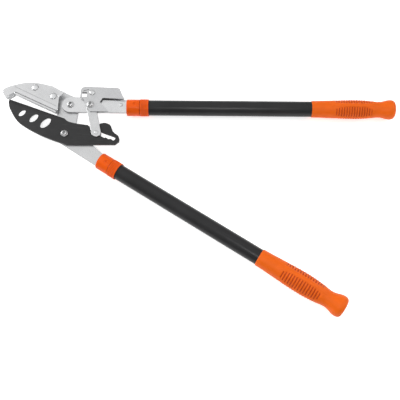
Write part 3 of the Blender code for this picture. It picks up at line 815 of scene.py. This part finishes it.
def handle_place(side):
    """The handle's own frame: Z along it from the ferrule's face, X up, turned by the lock ring's joint."""
    joint = JOINTS[f"{side}_ring_twist"]
    along = Vector(joint["axis"]).normalized()
    up = Vector((0, 0, 1))
    across = along.cross(up)
    turn = Matrix((up, across, along)).transposed().to_4x4()
    return Matrix.Translation(joint["pos_m"]) @ turn


def add_ferrule(side, place):
    """Ferrule: rounded ends, a raised panel round the pin, a slot for the bar and a hole for the pin."""
    node = f"{side}_ferrule"
    start, end, _, radius = reach(node, place)
    bore = reach(f"{side}_inner_tube", place)[3] + GAP
    pin_low, pin_high, _, _ = reach(f"{side}_ferrule_pin", place)
    pin_at = (pin_low + pin_high) / 2
    body = radius - PANEL_RAISE

    def shape(z, angle, r):
        if r < body - 0.0014:
            return r
        turn = abs((angle + pi) % tau - pi)
        near = smooth_step((PANEL_HALF_ANGLE - turn) / PANEL_BLEND + 0.5)
        far = smooth_step((PANEL_HALF_ANGLE - abs(turn - pi)) / PANEL_BLEND + 0.5)
        along = smooth_step((z - start - PANEL_MARGIN) / PANEL_SLOPE)
        along *= smooth_step((end - PANEL_MARGIN - z) / PANEL_SLOPE)
        return r + PANEL_RAISE * max(near, far) * along

    outer = [(start, bore + 0.0008), (start, body, 0.0022), (end, body, 0.0010), (end, bore + 0.0001)]
    wall = start + FERRULE_WALL
    inner = [(end, bore), (wall, bore), (wall, 0.0008), (start, 0.0008)]
    bm = turned(finely(rounded(outer, 0.0010, 6), 0.0007) + inner, 120, shape)
    low, high = bar_layer("upper_arm" if side == "upper" else "jaw_frame", place)
    slot = [(low - GAP, -SLOT_HALF_WIDTH), (high + GAP, -SLOT_HALF_WIDTH)]
    slot += [(high + GAP, SLOT_HALF_WIDTH), (low - GAP, SLOT_HALF_WIDTH)]
    slot_cutter = prism(slot, start - 0.002, start + SLOT_DEPTH)
    drill = rod((-0.02, 0, pin_at), (0.02, 0, pin_at), PIN_HOLE_RADIUS, 32)
    bm = cut_away(bm, [slot_cutter, drill])
    piece = as_piece(node + "_shape", bm, "plastic", node, place)
    # Painted shade at the ferrule's end, where it meets the lock ring.
    write_painted_shade(piece, lambda co: smooth_step((co.z - end) / SEAM + 1))


def bar_layer(node, place):
    """Lowest and highest X, in the handle's frame, of the bar that enters its ferrule."""
    inverse = place.inverted()
    xs = [(inverse @ v.co).x for v in frame["nodes"][node].data.vertices]
    return min(xs), max(xs)


def add_ferrule_pin(side, place):
    """Cross pin with domed ends, along the handle frame's X."""
    node = f"{side}_ferrule_pin"
    low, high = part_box(node)
    z0, z1, _, _ = reach(node, place)
    half = (high.z - low.z) / 2
    radius = (z1 - z0) / 2
    lie = Matrix.Translation((0, 0, (z0 + z1) / 2)) @ Matrix.Rotation(pi / 2, 4, "Y")
    profile = rounded([(-half, 0), (-half, radius, 0.0007), (half, radius, 0.0007), (half, 0)], 0.0007, 5)
    piece = as_piece(node + "_shape", turned(profile, 32), "plastic", node, place @ lie)
    write_painted_shade(piece, lambda co: 0.0)


def write_painted_shade(piece, depth_at):
    """Writes how much painted shade each point gets, from 0 to 1: in grooves, at seams and at mouths."""
    spots = piece.data.attributes["spot"].data
    depths = [depth_at(spot.vector) for spot in spots]
    piece.data.attributes.new("painted_shade", "FLOAT", "POINT").data.foreach_set("value", depths)


def add_lock_ring(side, place):
    """Knurled lock ring: fine rounded ribs between two smooth rims, bored to take the tube's end."""
    node = f"{side}_lock_ring"
    start, end, _, radius = reach(node, place)
    mouth = reach(f"{side}_inner_tube", place)[3] + GAP
    tube_start, _, _, tube_radius = reach(f"{side}_outer_tube", place)
    step = tube_start - GAP
    seat = tube_radius + GAP

    def knurl(z, angle, r):
        if r < radius - KNURL_REACH:
            return r
        inside = smooth_step((z - start - RING_RIM) / KNURL_SLOPE)
        inside *= smooth_step((end - RING_RIM - 0.0004 - z) / KNURL_SLOPE)
        return r - KNURL_DEPTH * inside * (0.5 - 0.5 * cos(KNURLS * angle)) ** 1.6

    outer = [(start, mouth), (start, radius, 0.0008), (end, radius, 0.0016), (end, seat)]
    inner = [(end, seat), (step, seat), (step, mouth)]
    bm = turned(finely(rounded(outer, 0.0008, 5), 0.0006) + inner, 6 * KNURLS, knurl)
    piece = as_piece(node + "_shape", bm, "plastic", node, place)

    # Painted shade in the knurl's grooves, at the seam by the ferrule and at the mouth round the tube.
    def painted_shade(co):
        depth = radius - hypot(co.x, co.y)
        groove = KNURL_SHADE * min(max(depth / KNURL_DEPTH, 0), 1) if depth < KNURL_REACH else 0.0
        seam = smooth_step((start - co.z) / SEAM + 1)
        mouth_edge = smooth_step((co.z - end) / (0.5 * SEAM) + 1)
        return max(groove, seam, mouth_edge)

    write_painted_shade(piece, painted_shade)


def sleeve(node, place, look, corner, sides=ROUND):
    """A plain tube with its four rims rounded."""
    start, end, bore, outer = reach(node, place)
    middle = (bore + outer) / 2
    ring = [(start, middle), (start, outer, corner), (end, outer, corner), (end, bore, corner)]
    ring += [(start, bore, corner), (start, middle)]
    as_piece(node + "_shape", turned(rounded(ring, corner)[:-1], sides), look, node, place)


def add_bush(side, place):
    """Guide bush: a plug for the inner tube and a grooved slider that runs in the outer one."""
    node = f"{side}_guide_bush"
    start, end, _, outer = reach(node, place)
    _, tube_end, tube_bore, _ = reach(f"{side}_inner_tube", place)
    plug = tube_bore - GAP
    shoulder = tube_end + GAP
    floor = outer - BUSH_GROOVE_DEPTH
    profile = [(start, 0), (start, plug, 0.0006), (shoulder, plug), (shoulder, outer, 0.0006)]
    for i in range(BUSH_GROOVES):
        a = shoulder + BUSH_GROOVE_START + BUSH_GROOVE_STEP * i
        b = a + BUSH_GROOVE_WIDTH
        profile += [(a, outer), (a, floor), (b, floor), (b, outer)]
    profile += [(end, outer, 0.0006), (end, 0)]
    bm = turned(rounded(profile, 0.0002), MEDIUM_ROUND)
    as_piece(node + "_shape", bm, "black", node, place)


def along_curve(points, t):
    """A Catmull-Rom curve through (s, r) points, at point index t."""
    i = min(int(t), len(points) - 2)
    f = t - i
    p0, p1, p2, p3 = (Vector(points[min(max(k, 0), len(points) - 1)]) for k in (i - 1, i, i + 1, i + 2))
    square = f**2 * (2 * p0 - 5 * p1 + 4 * p2 - p3)
    cube = f**3 * (3 * p1 - p0 - 3 * p2 + p3)
    return tuple(0.5 * (2 * p1 + f * (p2 - p0) + square + cube))


def grip_line():
    """The grip's outline, with points as close as the ribs need between their ends."""
    coarse = [along_curve(GRIP_OUTLINE, i / 40) for i in range(40 * (len(GRIP_OUTLINE) - 1) + 1)]
    line = [coarse[0]]
    for point in coarse[1:]:
        gap = hypot(point[0] - line[-1][0], point[1] - line[-1][1])
        wanted = RIB_STEP if RIB_START - 0.003 < point[0] < RIB_END + 0.003 else PLAIN_STEP
        if gap >= wanted:
            line.append(point)
    return line + [coarse[-1]]


def panel_share(s):
    """How far along the ribbed panels a distance from the grip's mouth is, from 0 to 1."""
    return (s - RIB_START) / (RIB_END - RIB_START)


def in_panel(s, turn, margin=0.0):
    """How surely a point lies in a ribbed panel, from 0 outside to 1 inside, the panel grown by an angle."""
    share = panel_share(s)
    if not 0 < share < 1:
        return 0.0
    across = min(abs(turn), pi - abs(turn))
    middle = (PANEL_START_ANGLE + PANEL_END_ANGLE) / 2
    half = (PANEL_END_ANGLE - PANEL_START_ANGLE) / 2
    bow = max(0.0, 1 - abs(2 * share - 1) ** 3.5) ** 0.5
    return smooth_step((half * (0.42 + 0.58 * bow) + margin - abs(across - middle)) / radians(4))


def rib_depth(s, turn):
    """How far into a rib's groove the grip's surface lies, from 0 on a rib to 1 in a groove."""
    ribs = RIBS * panel_share(s)
    ends = smooth_step(2 * ribs) * smooth_step(2 * (RIBS - ribs))
    wave = 0.5 - 0.5 * cos(tau * ribs)
    return wave**1.8 * in_panel(s, turn) * ends


def spine(s, turn):
    """How surely a point lies on the smooth spine along each flat side, which fades out at the neck."""
    across = min(abs(turn), pi - abs(turn))
    along = smooth_step((s - LIFT_START) / LIFT_SLOPE) * smooth_step((SPINE_END - s) / SPINE_FADE)
    return along * smooth_step((SPINE_HALF_ANGLE - across) / radians(2.5) + 0.5)


def add_grip(side, place):
    """Grip: ribbed panels either side of a smooth spine, a neck, and a flared knob with a rounded end."""
    node = f"{side}_grip"
    start, end, _, widest = reach(node, place)
    scale = (end - start) / GRIP_OUTLINE[-1][0]
    _, tube_end, _, tube_radius = reach(f"{side}_outer_tube", place)
    bore = tube_radius + GAP
    floor = tube_end + GAP

    def turn_of(angle):
        return (angle - GRIP_TURN[side] + pi) % tau - pi

    def shape(z, angle, r):
        s = (z - start) / scale
        if r < bore + 0.0002 or s > KNOB_FACE:
            return r
        turn = turn_of(angle)
        low = (1 - spine(s, turn)) * smooth_step((s - LIFT_START) / LIFT_SLOPE)
        low *= smooth_step((LIFT_END - s) / LIFT_SLOPE)
        sunk = RIB_DEPTH * rib_depth(s, turn) + PANEL_SINK * in_panel(s, turn, radians(2.5))
        return r - SPINE_LIFT * low - sunk

    fullness = (widest - bore) / (max(r for _, r in GRIP_OUTLINE) - bore)
    outer = []
    for s, r in grip_line():
        outer.append((start + s * scale, min(bore + fullness * (r - bore), widest - 0.00001)))
    profile = [(floor, 0), (floor, bore), (start, bore), *outer, (end, 0)]
    bm = turned(profile, GRIP_SIDES, shape)
    piece = as_piece(node + "_shape", bm, "grip", node, place, 60)

    # Painted shade in the grooves between the ribs.
    def painted_shade(co):
        on_skin = hypot(co.x, co.y) > bore + 0.0003
        return rib_depth((co.z - start) / scale, turn_of(atan2(co.y, co.x))) if on_skin else 0.0

    write_painted_shade(piece, painted_shade)


def add_handle(side):
    """Every piece of one handle, from its ferrule to its grip."""
    place = handle_place(side)
    add_ferrule(side, place)
    add_ferrule_pin(side, place)
    sleeve(f"{side}_inner_tube", place, "inner", 0.0003)
    sleeve(f"{side}_outer_tube", place, "tube", 0.0004)
    sleeve(f"{side}_collet", place, "black", 0.0003, MEDIUM_ROUND)
    add_bush(side, place)
    add_lock_ring(side, place)
    add_grip(side, place)


# ---- stage ----


def add_floor():
    """A pale paper floor that glows faintly, so that it stays pale under the tool."""
    bm = prism(polygon(FLOOR_RADIUS, 64), -0.02, 0.0)
    bmesh.ops.recalc_face_normals(bm, faces=bm.faces)
    mesh = bpy.data.meshes.new("floor")
    bm.to_mesh(mesh)
    bm.free()
    floor = bpy.data.objects.new("floor", mesh)
    bpy.context.scene.collection.objects.link(floor)
    look = Look("floor_paper")
    look.where = look.add("ShaderNodeTexCoord").outputs["Object"]
    tone = look.blend(look.noise(0.3, 2), (0.92, 0.92, 0.92), (0.94, 0.94, 0.94))
    grain = look.bump(look.noise(0.002, 2), 0.00001)
    look.finish(tone, 0.8, grain, Specular_IOR_Level=0.1, Emission_Strength=FLOOR_GLOW)
    look.shader.inputs["Emission Color"].default_value = (1, 1, 1, 1)
    mesh.materials.append(look.material)


def add_sky():
    """An overcast sky, darker towards its horizon and towards the viewer."""
    world = bpy.data.worlds.new("sky")
    bpy.context.scene.world = world
    world.use_nodes = True
    tree = world.node_tree
    background = tree.nodes["Background"]
    where = tree.nodes.new("ShaderNodeTexCoord")
    split = tree.nodes.new("ShaderNodeSeparateXYZ")
    ramp = tree.nodes.new("ShaderNodeValToRGB")
    front = tree.nodes.new("ShaderNodeMapRange")
    front.inputs["From Min"].default_value = -0.9
    front.inputs["From Max"].default_value = 0.2
    front.inputs["To Min"].default_value = 0.25
    front.inputs["To Max"].default_value = 1.0
    tree.links.new(where.outputs["Generated"], split.inputs["Vector"])
    tree.links.new(split.outputs["Z"], ramp.inputs["Fac"])
    tree.links.new(split.outputs["Y"], front.inputs["Value"])
    tree.links.new(ramp.outputs["Color"], background.inputs["Color"])
    tree.links.new(front.outputs["Result"], background.inputs["Strength"])
    elements = ramp.color_ramp.elements
    elements[0].position = SKY_STOPS[0][0]
    elements[1].position = SKY_STOPS[-1][0]
    for position, _ in SKY_STOPS[1:-1]:
        elements.new(position)
    for element, (_, grey) in zip(elements, SKY_STOPS):
        element.color = (grey, grey, grey, 1)


def add_lamps():
    """Three soft lamps, each turned to the middle of the tool."""
    for name, at, size, energy in LAMPS:
        lamp = bpy.data.lights.new(name, "AREA")
        lamp.energy = energy
        lamp.size = size
        holder = bpy.data.objects.new(name, lamp)
        bpy.context.scene.collection.objects.link(holder)
        holder.location = at
        holder.rotation_mode = "QUATERNION"
        holder.rotation_quaternion = (-Vector(at)).to_track_quat("-Z", "Y")


def add_camera():
    """A camera about a metre away, looking down at 70 degrees with the handles to the right."""
    roll = Matrix.Rotation(CAMERA_ROLL, 3, "Z")
    at = BLADE_PIVOT + roll @ Vector(CAMERA_AT)
    aim = BLADE_PIVOT + roll @ Vector(CAMERA_AIM)
    back = (at - aim).normalized()
    right = (roll @ Vector((0, 1, 0))).cross(back).normalized()
    up = back.cross(right)
    camera = bpy.data.cameras.new("camera")
    camera.lens = LENS_MM
    camera.sensor_width = 36
    camera.clip_start = 0.02
    holder = bpy.data.objects.new("camera", camera)
    bpy.context.scene.collection.objects.link(holder)
    holder.matrix_world = Matrix.Translation(at) @ Matrix((right, up, back)).transposed().to_4x4()
    bpy.context.scene.camera = holder
    bpy.context.scene.view_settings.view_transform = "Standard"


def main():
    add_plate("jaw_frame", "bar")
    add_plate("anvil_block", "jaw")
    add_jaw_cheek()
    add_plate("blade", "blade", FINE_BEVEL)
    add_plate("upper_arm", "arm")
    add_plate("link_front", "link")
    add_plate("link_back", "link")
    add_housing()
    for name, pivot in (("blade", BLADE_PIVOT), ("arm", ARM_PIVOT), ("link", LINK_PIVOT)):
        button_bolt(f"{name}_bolt", pivot)
        washer(f"{name}_washer", pivot)
        lock_nut(f"{name}_nut", pivot)
    for node in ("cheek_rivet_1", "cheek_rivet_2"):
        rivet(node, "boss")
    for node in ("tang_rivet", "ratchet_pin", "spring_post"):
        rivet(node, "bolt")
    add_spring()
    for side in ("upper", "lower"):
        add_handle(side)
    add_floor()
    add_sky()
    add_lamps()
    add_camera()


main()
